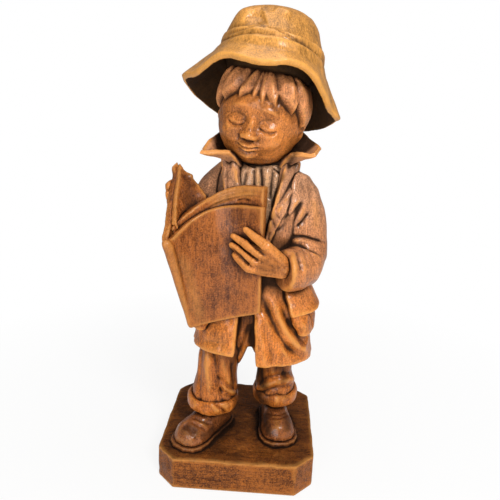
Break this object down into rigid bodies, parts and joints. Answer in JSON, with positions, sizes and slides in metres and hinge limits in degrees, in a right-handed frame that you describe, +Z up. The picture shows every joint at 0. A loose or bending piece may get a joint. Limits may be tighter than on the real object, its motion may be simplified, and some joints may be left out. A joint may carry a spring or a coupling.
{
  "type": "carved wooden boy figurine",
  "caption": "Stained carved wooden figurine of a boy in a floppy hat and long coat reading a large open broadsheet, standing on a chamfered block base; shelf decoration.",
  "frame": {"origin": "centre of the base board's flat underside", "axes": "+Z up; the boy faces -Y; the boy's right hand is on -X"},
  "size_m": [0.0926, 0.0845, 0.2543],
  "materials": {
    "dowel": "bare turned hardwood",
    "base": "dark brown stain, satin varnish, worn edges",
    "shoe": "dark brown stain, semi-gloss varnish",
    "sock": "brown stain, semi-gloss varnish",
    "trousers": "orange-brown stain, dark recesses, semi-gloss varnish",
    "jacket": "orange-brown stain, dark recesses, golden worn rims, semi-gloss varnish",
    "shirt": "light brown stain, dark grooves, semi-gloss varnish",
    "skin": "reddish brown stain, semi-gloss varnish",
    "paper": "red-brown stain, golden worn rims, semi-gloss varnish",
    "hat": "honey-gold stain, fine grain, semi-gloss varnish"
  },
  "bodies": {
    "root": {"right_foot_dowel": "dowel", "left_foot_dowel": "dowel", "waist_dowel": "dowel", "right_shoulder_dowel": "dowel", "left_shoulder_dowel": "dowel", "right_wrist_dowel": "dowel", "left_wrist_dowel": "dowel", "neck_dowel": "dowel", "hat_dowel": "dowel", "base_board": "base", "right_sole": "shoe", "left_sole": "shoe", "right_shoe": "shoe", "left_shoe": "shoe", "right_sock": "sock", "left_sock": "sock", "trouser_seat": "trousers", "right_trouser_leg": "trousers", "left_trouser_leg": "trousers", "right_trouser_cuff": "trousers", "left_trouser_cuff": "trousers", "shirt_front": "shirt", "jacket": "jacket", "right_lapel": "jacket", "left_lapel": "jacket", "collar": "jacket", "right_sleeve": "jacket", "left_sleeve": "jacket", "right_pocket_pouch": "jacket", "left_pocket_pouch": "jacket", "right_pocket_flap": "jacket", "left_pocket_flap": "jacket", "head": "skin", "right_hand": "skin", "left_hand": "skin", "sheet_front_leaf": "paper", "sheet_back_leaf": "paper", "sheet_front_pages": "paper", "sheet_back_pages": "paper", "hat_crown": "hat", "hat_band": "hat", "hat_brim": "hat"}
  },
  "joints": []
}
